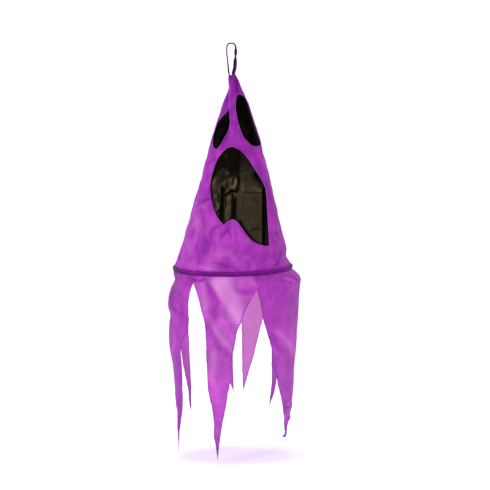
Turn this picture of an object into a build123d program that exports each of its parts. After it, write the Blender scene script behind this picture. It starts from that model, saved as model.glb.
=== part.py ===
"""Hanging ghost windsock: a cloth cone with a cut-out face, a hoop in its lower edge and seven ragged tails.

Millimetres, +Z up. The origin is where the hook bears, under the top of the hanging loop.
The face looks along -Y. Angles round the vertical axis start at the front and grow towards +X.
"""

import os
from math import cos, radians, sin

from build123d import *

# Driving dimensions
fabric = 0.8  # thickness of every cloth wall
tape_width = 7.5
tape_thickness = 1.0
loop_half_width = 9.0  # to the middle of the tape
loop_foot_half_gap = 3.0
loop_foot_z = -64.0

tip_z = -69.8
tip_radius = 7.0
cone_bottom_radius = 122.0

hoop_z = -471.0  # middle of the hoop
hoop_radius = 121.7
rod_radius = 1.5
rod_gap_deg = 1.0  # between the rod's two ends, inside the ferrule
ferrule_radius = 2.3
ferrule_clearance = 0.1
ferrule_deg = 13.0  # about 28 mm along the hoop
sleeve_height = 10.6
sleeve_width = 7.0

band_drop = 22.0  # from the middle of the hoop to the lower edge of the uncut band
skirt_radius = 128.0
tail_top_drop = 25.0
tail_corner_drop = 31.0
tail_corner_cut = 14.0  # how far in from its side a tail's top corner is cut off

# Sizes that follow from them
cone_bottom_z = hoop_z + sleeve_height / 2 + 0.4
seam_start_z = tip_z - 25
patch_gap = 0.2  # between a face patch and the cloth in front of it
patch_margin = 4.5  # how far a patch reaches past the edge of its cut-out
reach = 200.0  # longer than any cut through one side of the cone

# Where each outline below is drawn, seen from outside, as an angle round the cone
RIGHT_EYE_DEG = 45.0
LEFT_EYE_DEG = -50.0

# Cut-outs of the face: across and up, in millimetres
RIGHT_EYE = [
    (-5, -108.5),
    (11, -119),
    (25, -145),
    (33, -178),
    (35, -208),
    (8, -214),
    (-13, -190),
    (-16.5, -150),
]
LEFT_EYE = [
    (4, -142),
    (14, -154),
    (18, -172),
    (12, -200),
    (-1, -218),
    (-15, -210),
    (-23.5, -187),
    (-15, -161),
]
MOUTH_TOP = [
    (73, -418),
    (68, -350),
    (61, -295),
    (46, -266),
    (24, -232),
    (0, -214.5),
    (-27, -222),
    (-45, -250),
    (-53, -291),
    (-44, -336),
    (-22.5, -372),
]
MOUTH_BOTTOM = [
    (-22.5, -372),
    (-4, -360),
    (20, -388),
    (46, -412),
    (73, -418),
]

# The tails: the angle of the middle, half the width at the top, then the edge from the right-hand
# top corner round the tip to the left-hand one, as (across, below the middle of the hoop)
TAILS = {
    "tail_front_left": (
        -68.0,
        60.0,
        [(44, 80), (27, 155), (25, 232), (19, 312), (9, 380), (0, 330), (-13, 260), (-32, 160), (-46, 80)],
    ),
    "tail_front_middle": (
        -8.5,
        67.0,
        [(50, 64), (28, 122), (14, 226), (-3, 313), (-13, 390), (-20, 312), (-37, 200), (-43, 92)],
    ),
    "tail_front_right": (
        52.0,
        62.0,
        [(62, 110), (58, 210), (52, 285), (30, 326), (22, 350), (4, 270), (-16, 218), (-48, 96)],
    ),
    "tail_back_right": (
        117.0,
        61.0,
        [(51, 90), (50, 200), (54, 301), (36, 240), (8, 180), (-32, 105)],
    ),
    "tail_back_middle": (
        161.0,
        33.0,
        [(24, 110), (22, 210), (18, 270), (3, 213), (-9, 172), (-23, 110)],
    ),
    "tail_back_left": (
        199.0,
        50.0,
        [(24, 60), (2, 110), (-28, 225), (-42, 279), (-41, 190), (-43, 90)],
    ),
    "tail_side_left": (
        243.0,
        47.0,
        [(22, 90), (-14, 172), (-29, 242), (-40, 309), (-41, 200), (-42, 90)],
    ),
}

os.makedirs("parts", exist_ok=True)


def save(builder, name):
    """Label a finished piece and write it to its own file."""
    builder.part.label = name
    export_step(builder.part, f"parts/{name}.step")


def cone_radius(z):
    """The cone's outside radius at the height z."""
    share = (tip_z - z) / (tip_z - cone_bottom_z)
    return tip_radius + (cone_bottom_radius - tip_radius) * share


def section_plane(angle, height=0.0):
    """A half-plane through the axis at the angle: its x runs outwards from the axis, its y up."""
    a = radians(angle)
    return Plane(origin=(0, 0, height), x_dir=(sin(a), -cos(a), 0), z_dir=(-cos(a), -sin(a), 0))


def cone_volume(inset, top_z):
    """The cone's outer shape moved in by inset, from the lower edge up to top_z."""
    with BuildPart() as volume:
        with BuildSketch(section_plane(180)):
            with BuildLine():
                Polyline(
                    (0, cone_bottom_z),
                    (cone_bottom_radius - inset, cone_bottom_z),
                    (cone_radius(top_z) - inset, top_z),
                    (0, top_z),
                    close=True,
                )
            make_face()
        revolve(axis=Axis.Z)
    return volume.part


def face_plane(angle):
    """An upright plane through the axis, facing outwards at the angle."""
    a = radians(angle)
    return Plane(origin=(0, 0, 0), x_dir=(cos(a), sin(a), 0), z_dir=(sin(a), -cos(a), 0))


def grown(points, amount):
    """The points of an outline, each moved away from the outline's middle by the amount."""
    middle = Vector(sum(x for x, _ in points), sum(y for _, y in points)) / len(points)
    return [point + (point - middle).normalized() * amount for point in map(Vector, points)]


def eye_outline(points, grow=0.0):
    """The outline of an eye, as one smooth closed curve."""
    with BuildSketch() as outline:
        with BuildLine():
            Spline(*grown(points, grow), periodic=True)
        make_face()
    return outline.sketch


def mouth_outline(grow=0.0):
    """The outline of the mouth: a tall arch with a shallow notch in its lower edge."""
    points = grown(MOUTH_TOP + MOUTH_BOTTOM[1:-1], grow)
    with BuildSketch() as outline:
        with BuildLine():
            Spline(*points[: len(MOUTH_TOP)])
            Spline(*points[len(MOUTH_TOP) - 1 :], points[0])
        make_face()
    return outline.sketch


# The cone's cloth, and the thin shell just inside it that the face patches are cut from
cone_outside = cone_volume(0, tip_z)
cone_inside = cone_volume(fabric, tip_z - 3)
patch_outside = cone_volume(fabric + patch_gap, tip_z - 12)
patch_inside = cone_volume(2 * fabric + patch_gap, tip_z - 12)

# The face: where each feature is seen from, its cut-out and the outline of the patch behind it
FACE = {
    "right_eye": (RIGHT_EYE_DEG, eye_outline(RIGHT_EYE), eye_outline(RIGHT_EYE, patch_margin)),
    "left_eye": (LEFT_EYE_DEG, eye_outline(LEFT_EYE), eye_outline(LEFT_EYE, patch_margin)),
    "mouth": (0.0, mouth_outline(), mouth_outline(patch_margin)),
}

# Hanging loop: a strip of woven tape, bent over and sewn to the tip by both ends
with BuildPart() as hanging_loop:
    with BuildSketch(Plane.XZ):
        with BuildLine():
            FilletPolyline(
                (-loop_foot_half_gap, loop_foot_z),
                (-5, -56),
                (-loop_half_width, -34),
                (-loop_half_width, tape_thickness / 2),
                (loop_half_width, tape_thickness / 2),
                (loop_half_width, -34),
                (5, -56),
                (loop_foot_half_gap, loop_foot_z),
                radius=[8, 14, 5, 5, 14, 8],
            )
        trace(line_width=tape_thickness)
    extrude(amount=tape_width / 2, both=True)
save(hanging_loop, "hanging_loop")

# Bar tack: the dense thread that holds the two ends of the tape together
with BuildPart() as loop_bar_tack:
    with BuildSketch(Plane.XY.offset(tip_z + 0.6)):
        RectangleRounded(4.4, tape_width, 0.8)
    extrude(amount=1.2)
save(loop_bar_tack, "loop_bar_tack")

# Cone: one sector of cloth closed by a seam at the back, with the face cut out of it
with BuildPart() as cone:
    add(cone_outside)
    add(cone_inside, mode=Mode.SUBTRACT)
    for feature_angle, cut_out, patch_outline in FACE.values():
        with BuildSketch(face_plane(feature_angle)):
            add(cut_out)
        extrude(amount=reach, mode=Mode.SUBTRACT)
save(cone, "cone")

# Back seam: the two turned edges of the cone's cloth, sewn together inside
seam_reach = 8.0
with BuildPart() as cone_back_seam:
    top_depth = cone_radius(seam_start_z) - fabric - patch_gap
    bottom_depth = cone_bottom_radius - fabric - patch_gap
    with BuildSketch(Plane.YZ):
        with BuildLine():
            Polyline(
                (top_depth, seam_start_z),
                (bottom_depth, cone_bottom_z),
                (bottom_depth - seam_reach, cone_bottom_z),
                (top_depth - seam_reach / 2, seam_start_z),
                close=True,
            )
        make_face()
    extrude(amount=fabric, both=True)
save(cone_back_seam, "cone_back_seam")

# Face patches: black cloth sewn behind the cut-outs, each the part of the shell inside its outline
for feature, (feature_angle, cut_out, patch_outline) in FACE.items():
    with BuildPart() as patch:
        with BuildSketch(face_plane(feature_angle)):
            add(patch_outline)
        extrude(amount=reach)
        add(patch_outside, mode=Mode.INTERSECT)
        add(patch_inside, mode=Mode.SUBTRACT)
    save(patch, f"{feature}_patch")

# Hoop: a round glass-fibre rod, sprung into a circle and joined at the back
with BuildPart() as hoop_rod:
    with BuildSketch(section_plane(180 + rod_gap_deg / 2, hoop_z)):
        with Locations((hoop_radius, 0)):
            Circle(rod_radius)
    revolve(axis=Axis.Z, revolution_arc=360 - rod_gap_deg)
save(hoop_rod, "hoop_rod")

with BuildPart() as hoop_ferrule:
    with BuildSketch(section_plane(180 - ferrule_deg / 2, hoop_z)):
        with Locations((hoop_radius, 0)):
            Circle(ferrule_radius)
            Circle(rod_radius + ferrule_clearance, mode=Mode.SUBTRACT)
    revolve(axis=Axis.Z, revolution_arc=ferrule_deg)
save(hoop_ferrule, "hoop_ferrule")

# Sleeve: dark binding folded over the hoop, which also joins the cone to the skirt
with BuildPart() as hoop_sleeve:
    with BuildSketch(section_plane(0, hoop_z)):
        with Locations((hoop_radius, 0)):
            SlotOverall(sleeve_height, sleeve_width, rotation=90)
            SlotOverall(sleeve_height - 2 * fabric, sleeve_width - 2 * fabric, rotation=90, mode=Mode.SUBTRACT)
    revolve(axis=Axis.Z)
save(hoop_sleeve, "hoop_sleeve")

# Skirt band: the uncut top of the skirt, flaring a little below the hoop
band_top_z = hoop_z - sleeve_height / 2 - 0.2
band_bottom_z = hoop_z - band_drop
with BuildPart() as skirt_band:
    for inset, mode in ((0, Mode.ADD), (fabric, Mode.SUBTRACT)):
        with BuildSketch(Plane.XY.offset(band_top_z)):
            Circle(cone_bottom_radius + fabric / 2 - inset)
        with BuildSketch(Plane.XY.offset(band_bottom_z)):
            Circle(skirt_radius + fabric / 2 - inset)
        loft(ruled=True, mode=mode)
save(skirt_band, "skirt_band")


def make_tail(name, angle, half_width, edge):
    """One ragged tail: a pointed outline cut out of a round shell below the band."""
    corner = half_width - tail_corner_cut
    with BuildPart() as tail:
        with BuildSketch(Plane.XY.offset(hoop_z - tail_top_drop)):
            Circle(skirt_radius + fabric / 2)
            Circle(skirt_radius - fabric / 2, mode=Mode.SUBTRACT)
        extrude(amount=-400)
        with BuildSketch(face_plane(angle)):
            with BuildLine():
                Polyline(
                    (-corner, hoop_z - tail_top_drop),
                    (corner, hoop_z - tail_top_drop),
                    (half_width - 2, hoop_z - tail_corner_drop),
                    *[(across, hoop_z - down) for across, down in edge],
                    (2 - half_width, hoop_z - tail_corner_drop),
                    close=True,
                )
            make_face()
        extrude(amount=reach, mode=Mode.INTERSECT)
    save(tail, name)


for tail_name, (tail_angle, tail_half_width, tail_edge) in TAILS.items():
    make_tail(tail_name, tail_angle, tail_half_width, tail_edge)
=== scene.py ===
"""Looks of the hanging ghost windsock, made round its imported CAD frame.

Shapes are worked out in millimetres in the CAD frame and scaled to metres when a mesh is made.
Angles round the vertical axis are in degrees, start at the front (-Y) and grow towards +X.
"""

import math

import bpy
import numpy as np
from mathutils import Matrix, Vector, noise
from mathutils.geometry import delaunay_2d_cdt
from mathutils.kdtree import KDTree


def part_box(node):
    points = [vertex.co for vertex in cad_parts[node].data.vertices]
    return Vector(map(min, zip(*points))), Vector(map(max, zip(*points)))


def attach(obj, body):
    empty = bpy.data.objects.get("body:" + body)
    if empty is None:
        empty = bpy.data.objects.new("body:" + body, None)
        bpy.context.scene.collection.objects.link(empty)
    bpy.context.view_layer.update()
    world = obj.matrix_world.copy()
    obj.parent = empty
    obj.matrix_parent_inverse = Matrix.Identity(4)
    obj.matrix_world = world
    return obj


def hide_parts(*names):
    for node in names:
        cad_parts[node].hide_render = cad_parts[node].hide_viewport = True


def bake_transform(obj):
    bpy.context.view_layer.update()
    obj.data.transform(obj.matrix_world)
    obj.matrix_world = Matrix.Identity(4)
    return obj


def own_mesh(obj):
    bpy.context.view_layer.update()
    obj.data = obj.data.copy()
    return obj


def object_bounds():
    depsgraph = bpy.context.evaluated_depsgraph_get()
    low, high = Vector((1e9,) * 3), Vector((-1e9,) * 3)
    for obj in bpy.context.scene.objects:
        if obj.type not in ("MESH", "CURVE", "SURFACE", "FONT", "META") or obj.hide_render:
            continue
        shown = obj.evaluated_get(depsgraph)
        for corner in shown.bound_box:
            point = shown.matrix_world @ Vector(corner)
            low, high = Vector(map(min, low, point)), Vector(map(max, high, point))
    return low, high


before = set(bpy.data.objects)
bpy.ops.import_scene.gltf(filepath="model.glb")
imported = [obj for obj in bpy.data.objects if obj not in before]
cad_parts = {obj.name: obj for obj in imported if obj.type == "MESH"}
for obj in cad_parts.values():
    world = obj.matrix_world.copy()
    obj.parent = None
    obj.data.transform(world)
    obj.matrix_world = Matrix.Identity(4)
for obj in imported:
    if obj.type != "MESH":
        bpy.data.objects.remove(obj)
cad_low, cad_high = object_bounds()

MM = 0.001

# ---------------------------------------------------------------- sizes read from the frame


def node_box(node):
    """Lowest and highest corner of a CAD node, in millimetres."""
    low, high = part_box(node)
    return np.array(low) / MM, np.array(high) / MM


cone_low, cone_high = node_box("cone")
rod_low, rod_high = node_box("hoop_rod")
sleeve_low, sleeve_high = node_box("hoop_sleeve")
loop_low, loop_high = node_box("hanging_loop")

TIP_Z = cone_high[2]
TIP_RADIUS = 7.0  # the cloth is gathered round the loop's two feet, so the cone has no sharp point
CONE_FOOT_Z = cone_low[2]
CONE_FOOT_RADIUS = cone_high[0]
HOOP_Z = (rod_low[2] + rod_high[2]) / 2
ROD_RADIUS = (rod_high[2] - rod_low[2]) / 2
HOOP_RADIUS = rod_high[0] - ROD_RADIUS
SLEEVE_HALF_HEIGHT = (sleeve_high[2] - sleeve_low[2]) / 2
SLEEVE_HALF_WIDTH = sleeve_high[0] - HOOP_RADIUS
TACK_FOOT_Z = node_box("loop_bar_tack")[0][2]
TAPE_WIDTH = loop_high[1] - loop_low[1]

# ---------------------------------------------------------------- curves, outlines and small sums


def curve_through(points, x):
    """The smooth curve through (x, y) control points, at every x of an array."""
    xs, ys = np.array(points, float).T
    slopes = np.gradient(ys, xs)
    x = np.clip(np.asarray(x, float), xs[0], xs[-1])
    i = np.clip(np.searchsorted(xs, x) - 1, 0, len(xs) - 2)
    h = xs[i + 1] - xs[i]
    u = (x - xs[i]) / h
    rise = ys[i + 1] - ys[i]
    ends = h * (slopes[i] * (u - 2 * u**2 + u**3) + slopes[i + 1] * (u**3 - u**2))
    return ys[i] + rise * (3 * u**2 - 2 * u**3) + ends


def smoothstep(low, high, x):
    """0 below low, 1 above high, and smooth in between."""
    t = np.clip((np.asarray(x, float) - low) / (high - low), 0, 1)
    return t * t * (3 - 2 * t)


def bump_at(x, middle, width):
    """A round hump of height 1 at the middle, about width across."""
    return np.exp(-(((np.asarray(x, float) - middle) / (width / 2)) ** 2))


def noise_at(points, scale, octaves=3):
    """Fractal noise from about -1 to 1 at each point, for features about scale millimetres long."""
    return np.array([noise.fractal(Vector(p) / scale, 0.8, 2.1, octaves) for p in points])


def ridges_at(points, scale):
    """Sharp-crested noise from 0 to about 1, for creases about scale millimetres apart."""
    return np.array([1 - abs(noise.noise(Vector(p) / scale)) * 2 for p in points])


def smooth_run(points, step):
    """Points about step apart on a smooth open curve through the given ones, without its last point."""
    points = np.array(points, float)
    before, after = 2 * points[0] - points[1], 2 * points[-1] - points[-2]
    p = np.concatenate([[before], points, [after]])
    made = []
    for a, b, c, d in zip(p, p[1:], p[2:], p[3:]):
        count = max(1, int(np.ceil(np.linalg.norm(c - b) / step)))
        for u in np.arange(count)[:, None] / count:
            square = (2 * a - 5 * b + 4 * c - d) * u**2
            cube = (3 * b - a - 3 * c + d) * u**3
            made.append(0.5 * (2 * b + (c - a) * u + square + cube))
    return np.array(made)


def outline_through(runs, to_flat, step):
    """A closed outline on the flat cloth: smooth runs of points that meet at corners."""
    return np.concatenate([smooth_run(to_flat(np.array(run, float)), step) for run in runs])


def inside(points, outline):
    """Whether each flat point is inside a closed outline."""
    x, y = points[:, :1], points[:, 1:]
    a, b = outline, np.roll(outline, -1, axis=0)
    crosses = (a[:, 1] > y) != (b[:, 1] > y)
    with np.errstate(divide="ignore", invalid="ignore"):
        at = a[:, 0] + (y - a[:, 1]) / (b[:, 1] - a[:, 1]) * (b[:, 0] - a[:, 0])
    return (np.sum(crosses & (x < at), axis=1) % 2).astype(bool)


def flat_area(outline):
    """The area inside a closed outline, in square millimetres."""
    x, y = outline.T
    return abs(np.sum(x * np.roll(y, -1) - y * np.roll(x, -1))) / 2


def distance_to(points, outline):
    """How far each flat point is from the nearest point of an outline."""
    tree = KDTree(len(outline))
    for i, p in enumerate(outline):
        tree.insert((p[0], p[1], 0), i)
    tree.balance()
    return np.array([tree.find((p[0], p[1], 0))[2] for p in points])


def pressed_folds(across, up, folds):
    """The marks of a list of folds seen from the front: (how much painted light, or below 0 painted shade,
    each point gets, how far it is lifted).

    Each fold is a line of (across, up) points, its width, and its strength: above 0 a ridge with a painted
    highlight, below 0 a groove with painted shade.
    """
    painted_shading, lift = np.zeros(len(across)), np.zeros(len(across))
    here = np.stack([across, up], 1)
    for line, width, strength in folds:
        line = np.array(line, float)
        nearest = np.full(len(here), np.inf)
        for a, b in zip(line, line[1:]):
            share = np.clip((here - a) @ (b - a) / np.sum((b - a) ** 2), 0, 1)
            nearest = np.minimum(nearest, np.linalg.norm(here - a - share[:, None] * (b - a), axis=1))
        mark = strength * np.exp(-((nearest / (width / 2)) ** 2))
        painted_shading += mark
        lift += mark * width
    return painted_shading, lift


# ---------------------------------------------------------------- meshes


def new_piece(name, points_mm, faces, uv_mm=None, material=None):
    """A smooth-shaded mesh object from points in millimetres, with its place on the flat cloth as its UV."""
    mesh = bpy.data.meshes.new(name)
    mesh.from_pydata([tuple(p) for p in np.asarray(points_mm) * MM], [], [tuple(map(int, f)) for f in faces])
    if uv_mm is not None:
        layer = mesh.uv_layers.new(name="UVMap")
        corners = np.zeros(len(mesh.loops), int)
        mesh.loops.foreach_get("vertex_index", corners)
        layer.data.foreach_set("uv", (np.asarray(uv_mm)[corners] * MM).astype(np.float32).ravel())
    mesh.polygons.foreach_set("use_smooth", [True] * len(mesh.polygons))
    mesh.validate()
    mesh.update()
    piece = bpy.data.objects.new(name, mesh)
    bpy.context.scene.collection.objects.link(piece)
    if material:
        mesh.materials.append(material)
    return piece


def set_shade(piece, values):
    """Stores a number at each point of a piece, for its material to read as painted light (above 0) or
    painted shade (below 0) there.
    """
    attribute = piece.data.attributes.new("shade", "FLOAT", "POINT")
    attribute.data.foreach_set("value", np.asarray(values, np.float32))


def cut_cloth(outline, holes, spacing):
    """Triangles of a flat sheet inside the outline and outside the holes, as (flat points, faces)."""
    low, high = outline.min(0), outline.max(0)
    row_heights = np.arange(low[1], high[1], spacing * math.sqrt(3) / 2)
    clear_of_edges = 0.55 * spacing
    merge_within = 1e-5

    def on_cloth(points):
        """Whether each flat point is on the sheet."""
        keep = inside(points, outline)
        for hole in holes:
            keep &= ~inside(points, hole)
        return keep

    grid = np.array([
        (x + (spacing / 2 if row % 2 else 0), y)
        for row, y in enumerate(row_heights)
        for x in np.arange(low[0], high[0], spacing)
    ])
    loops = [outline, *holes]
    grid = grid[on_cloth(grid)]
    grid = grid[distance_to(grid, np.concatenate(loops)) > clear_of_edges]
    edges, start = [], 0
    for loop in loops:
        ring = np.arange(len(loop)) + start
        edges += list(zip(ring.tolist(), np.roll(ring, -1).tolist()))
        start += len(loop)
    points = [Vector(p) for p in np.concatenate([*loops, grid])]
    made, _, faces, *_ = delaunay_2d_cdt(points, edges, [], 0, merge_within)
    made = np.array([tuple(p) for p in made])
    faces = np.array([f for f in faces if len(f) == 3])
    return made, faces[on_cloth(made[faces].mean(1))]


def swept_strip(rows):
    """Quads over rows that all have the same count of points, as (points, faces)."""
    count, columns = len(rows), len(rows[0])
    faces = [
        (i * columns + j, i * columns + j + 1, (i + 1) * columns + j + 1, (i + 1) * columns + j)
        for i in range(count - 1)
        for j in range(columns - 1)
    ]
    return np.array(rows).reshape(-1, 3), faces


def skin(count, sides, closed=False):
    """Faces over a count of rings of points, with flat ends unless the last ring joins the first."""
    faces = []
    for i in range(count if closed else count - 1):
        j = (i + 1) % count
        for k in range(sides):
            m = (k + 1) % sides
            faces.append((i * sides + k, i * sides + m, j * sides + m, j * sides + k))
    if not closed:
        faces.append(tuple(range(sides))[::-1])
        faces.append(tuple((count - 1) * sides + k for k in range(sides)))
    return faces


ASKEW = (0.123, 0.456, 0.881)  # a direction that no seam of the windsock runs in


def tube(points, radius, sides=6, closed=False):
    """A round bead along a line of points in millimetres, as (points, faces)."""
    points = np.array(points, float)
    along = np.roll(points, -1, 0) - np.roll(points, 1, 0) if closed else np.gradient(points, axis=0)
    along /= np.maximum(np.linalg.norm(along, axis=1, keepdims=True), 1e-9)
    side = np.cross(along, ASKEW)
    side /= np.linalg.norm(side, axis=1, keepdims=True)
    up = np.cross(side, along)
    radius = np.broadcast_to(radius, len(points))[:, None]
    lines = []
    for k in range(sides):
        a = 2 * math.pi * k / sides
        lines.append(points + radius * (math.cos(a) * side + math.sin(a) * up))
    return np.stack(lines, 1).reshape(-1, 3), skin(len(points), sides, closed)


def joined(shapes):
    """Several (points, faces) shapes as one."""
    points, faces, start = [], [], 0
    for p, f in shapes:
        points.append(p)
        faces += [tuple(i + start for i in face) for face in f]
        start += len(p)
    return np.concatenate(points), faces


def run_along(line):
    """How far along a line each of its points is."""
    return np.concatenate([[0], np.cumsum(np.linalg.norm(np.diff(line, axis=0), axis=1))])


STITCH_SHAPE = np.array([0.35, 0.9, 1, 0.9, 0.35])  # a stitch's thickness along its length


def stitches(line, length=2.4, gap=1.0, radius=0.28):
    """A row of machine stitches along a line of points, as (points, faces)."""
    line = np.array(line, float)
    run = run_along(line)
    shapes = []
    for start in np.arange(gap, run[-1] - length, length + gap):
        at = start + np.linspace(0, 1, len(STITCH_SHAPE)) * length
        points = np.stack([np.interp(at, run, line[:, k]) for k in range(3)], 1)
        shapes.append(tube(points, radius * STITCH_SHAPE, sides=5))
    return joined(shapes)


# ---------------------------------------------------------------- materials


def scaled(colour, factor, more=0.0):
    """A colour made brighter or darker, and no brighter than 1."""
    return tuple(min(1, c * factor + more) for c in colour)


def opaque(colour):
    """A plain colour with full opacity added. A node's output stays as it is."""
    return (*colour, 1) if isinstance(colour, tuple) else colour


class Nodes:
    """The node tree of a material or a world, with short ways to add nodes and links."""

    def __init__(self, owner):
        self.owner = owner
        self.owner.use_nodes = True
        self.tree = self.owner.node_tree
        self.tree.nodes.clear()

    def add(self, kind, values=(), **settings):
        """A node with its settings. Each input is linked to a node's output or set to a plain value."""
        node = self.tree.nodes.new(kind)
        for key, value in settings.items():
            setattr(node, key, value)
        for key, value in dict(values).items():
            if isinstance(value, bpy.types.NodeSocket):
                self.tree.links.new(value, node.inputs[key])
            else:
                node.inputs[key].default_value = value
        return node

    def ramp(self, factor, stops):
        node = self.add("ShaderNodeValToRGB", {"Fac": factor})
        elements = node.color_ramp.elements
        while len(elements) < len(stops):
            elements.new(0.5)
        for element, (place, colour) in zip(elements, stops):
            element.position = place
            element.color = opaque(colour)
        return node.outputs["Color"]

    def mix(self, factor, a, b):
        """Colour a where the factor is 0, and colour b where it is 1."""
        values = {0: factor, 6: opaque(a), 7: opaque(b)}
        return self.add("ShaderNodeMix", values, data_type="RGBA").outputs[2]

    def math(self, operation, *values):
        return self.add("ShaderNodeMath", dict(enumerate(values)), operation=operation).outputs[0]

    def noise(self, scale, detail=3.0, roughness=0.55, stretch=(1, 1, 1), distortion=0.0):
        place = self.add("ShaderNodeTexCoord").outputs["Object"]
        mapping = self.add("ShaderNodeMapping", {"Vector": place, "Scale": stretch})
        values = {"Vector": mapping.outputs[0], "Scale": scale, "Detail": detail}
        values.update({"Roughness": roughness, "Distortion": distortion})
        return self.add("ShaderNodeTexNoise", values).outputs["Fac"]

    def facets(self, scale):
        """Height of flat facets with soft creases between them, as crumpled thin cloth has."""
        place = self.add("ShaderNodeTexCoord").outputs["Object"]
        warp = self.add("ShaderNodeTexNoise", {"Vector": place, "Scale": scale * 0.7, "Detail": 2.0})
        bent = self.add("ShaderNodeMix", {0: 0.03, 4: place, 5: warp.outputs["Color"]}, data_type="VECTOR")
        values = {"Vector": bent.outputs[1], "Scale": scale, "Randomness": 1.0}
        return self.add("ShaderNodeTexVoronoi", values, feature="F1").outputs["Distance"]

    def weave(self, pitch):
        """Height of a plain weave with threads pitch metres apart, from the cloth's flat position."""
        place = self.add("ShaderNodeTexCoord").outputs["UV"]
        values = {"Vector": place, "Scale": 0.5 / pitch, "Distortion": 0.4, "Detail": 1.0}
        threads = [self.add("ShaderNodeTexWave", values, bands_direction=d).outputs["Fac"] for d in "XY"]
        return self.math("MAXIMUM", *threads)

    def bump(self, height, strength, distance, normal=None):
        values = {"Height": height, "Strength": strength, "Distance": distance}
        if normal is not None:
            values["Normal"] = normal
        return self.add("ShaderNodeBump", values).outputs["Normal"]

    def shade(self):
        """The number of painted light and shade that set_shade stored at each point."""
        return self.add("ShaderNodeAttribute", attribute_name="shade").outputs["Fac"]

    def shaded(self, colour, paler, darker):
        """A colour mixed with a paler one (painted light) where the shade is above 0,
        and a darker one (painted shade) where it is below.
        """
        above = self.math("MAXIMUM", self.shade(), 0.0)
        below = self.math("MAXIMUM", self.math("MULTIPLY", self.shade(), -1.0), 0.0)
        return self.mix(below, self.mix(above, colour, paler), darker)

    def principled(self, values):
        return self.add("ShaderNodeBsdfPrincipled", values).outputs[0]

    def finish(self, shader, output="ShaderNodeOutputMaterial"):
        """Ends the tree with a shader, and gives back the material or world."""
        self.add(output, {"Surface": shader})
        return self.owner


def thin_cloth(name, front, through, dark, painted_shade_colour, painted_light_colour, share_through):
    """Thin dyed nylon that reflects one colour and lets a paler one through, creased, mottled and woven,
    with painted light and shade.
    """
    n = Nodes(bpy.data.materials.new(name))
    clouds = n.noise(17.0, 4, 0.6, (1, 1, 0.7), 0.7)
    streaks = n.noise(60.0, 5, 0.65, (1.0, 1.0, 0.5), 0.7)
    facets = n.facets(34.0)
    mottling = n.math("ADD", n.math("MULTIPLY", clouds, 0.55), n.math("MULTIPLY", streaks, 0.45))
    # painted shade: the colour is also darker along the facets' creases
    mottling = n.math("ADD", mottling, n.math("MULTIPLY", facets, -0.12))
    colour = n.ramp(mottling, [(0.36, dark), (0.47, front), (0.58, scaled(front, 1.22, 0.02))])
    # painted light and painted shade, from the number stored at each point, in both reflected and passing
    # colour
    colour = n.shaded(colour, painted_light_colour, painted_shade_colour)
    passing = n.ramp(mottling, [(0.34, scaled(through, 0.8)), (0.6, through)])
    passing = n.shaded(passing, painted_light_colour, scaled(painted_shade_colour, 1.6))
    normal = n.bump(facets, 0.7, 0.0045)
    normal = n.bump(streaks, 0.5, 0.0025, normal)
    normal = n.bump(n.weave(0.0007), 0.25, 0.00008, normal)
    cloth = n.principled({
        "Base Color": colour,
        "Roughness": 0.5,
        "Sheen Weight": 0.1,
        "Sheen Roughness": 0.4,
        "Sheen Tint": (0.95, 0.5, 1.0, 1),
        "Specular IOR Level": 0.22,
        "Normal": normal,
    })
    light = n.add("ShaderNodeBsdfTranslucent", {"Color": passing, "Normal": normal}).outputs[0]
    return n.finish(n.add("ShaderNodeMixShader", {0: share_through, 1: cloth, 2: light}).outputs[0])


def satin_lining(name, gloss, smoothest, roughest):
    """Shiny black lining cloth, whose colour is painted grey and then olive as a highlight where its folds
    would catch the light.
    """
    n = Nodes(bpy.data.materials.new(name))
    blotches = n.noise(34.0, 4, 0.6)
    painted_highlight = n.math("MULTIPLY", n.shade(), n.math("ADD", n.math("MULTIPLY", blotches, 1.1), 0.45))
    black, grey, olive = (0.0008, 0.0006, 0.0004), (0.034, 0.027, 0.016), (0.105, 0.088, 0.026)
    normal = n.bump(n.noise(60.0, 4, 0.6, (1, 1, 0.35), 0.8), 0.6, 0.002)
    normal = n.bump(n.weave(0.0006), 0.2, 0.00006, normal)
    rough = n.add("ShaderNodeMapRange", {"Value": blotches, "To Min": smoothest, "To Max": roughest})
    return n.finish(n.principled({
        "Base Color": n.ramp(painted_highlight, [(0.0, black), (0.5, grey), (1.0, olive)]),
        "Roughness": rough.outputs[0],
        "Specular IOR Level": gloss,
        "Specular Tint": (1.0, 0.9, 0.62, 1),
        "Normal": normal,
    }))


def binding_tape(name, colour, dark):
    """Close-woven dark tape, slightly shiny, with paler worn streaks along it, and painted light and shade
    from the number stored at each point.
    """
    n = Nodes(bpy.data.materials.new(name))
    wear = n.noise(70.0, 4, 0.6)
    base = n.ramp(wear, [(0.3, dark), (0.6, colour), (0.85, scaled(colour, 1.25))])
    normal = n.bump(n.noise(240.0, 3, 0.6), 0.35, 0.0006)
    normal = n.bump(n.weave(0.0009), 0.5, 0.00018, normal)
    return n.finish(n.principled({
        "Base Color": n.shaded(base, scaled(colour, 1.7, 0.015), scaled(dark, 0.25)),
        "Roughness": 0.55,
        "Sheen Weight": 0.02,
        "Sheen Tint": (0.8, 0.3, 0.9, 1),
        "Specular IOR Level": 0.08,
        "Normal": normal,
    }))


def thread_material(name, colour):
    """Twisted polyester thread."""
    n = Nodes(bpy.data.materials.new(name))
    twist = n.noise(1500.0, 2, 0.5)
    base = n.ramp(twist, [(0.35, scaled(colour, 0.6)), (0.65, colour)])
    normal = n.bump(twist, 0.5, 0.0002)
    values = {"Base Color": base, "Roughness": 0.4, "Sheen Weight": 0.3, "Normal": normal}
    return n.finish(n.principled(values))


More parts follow.
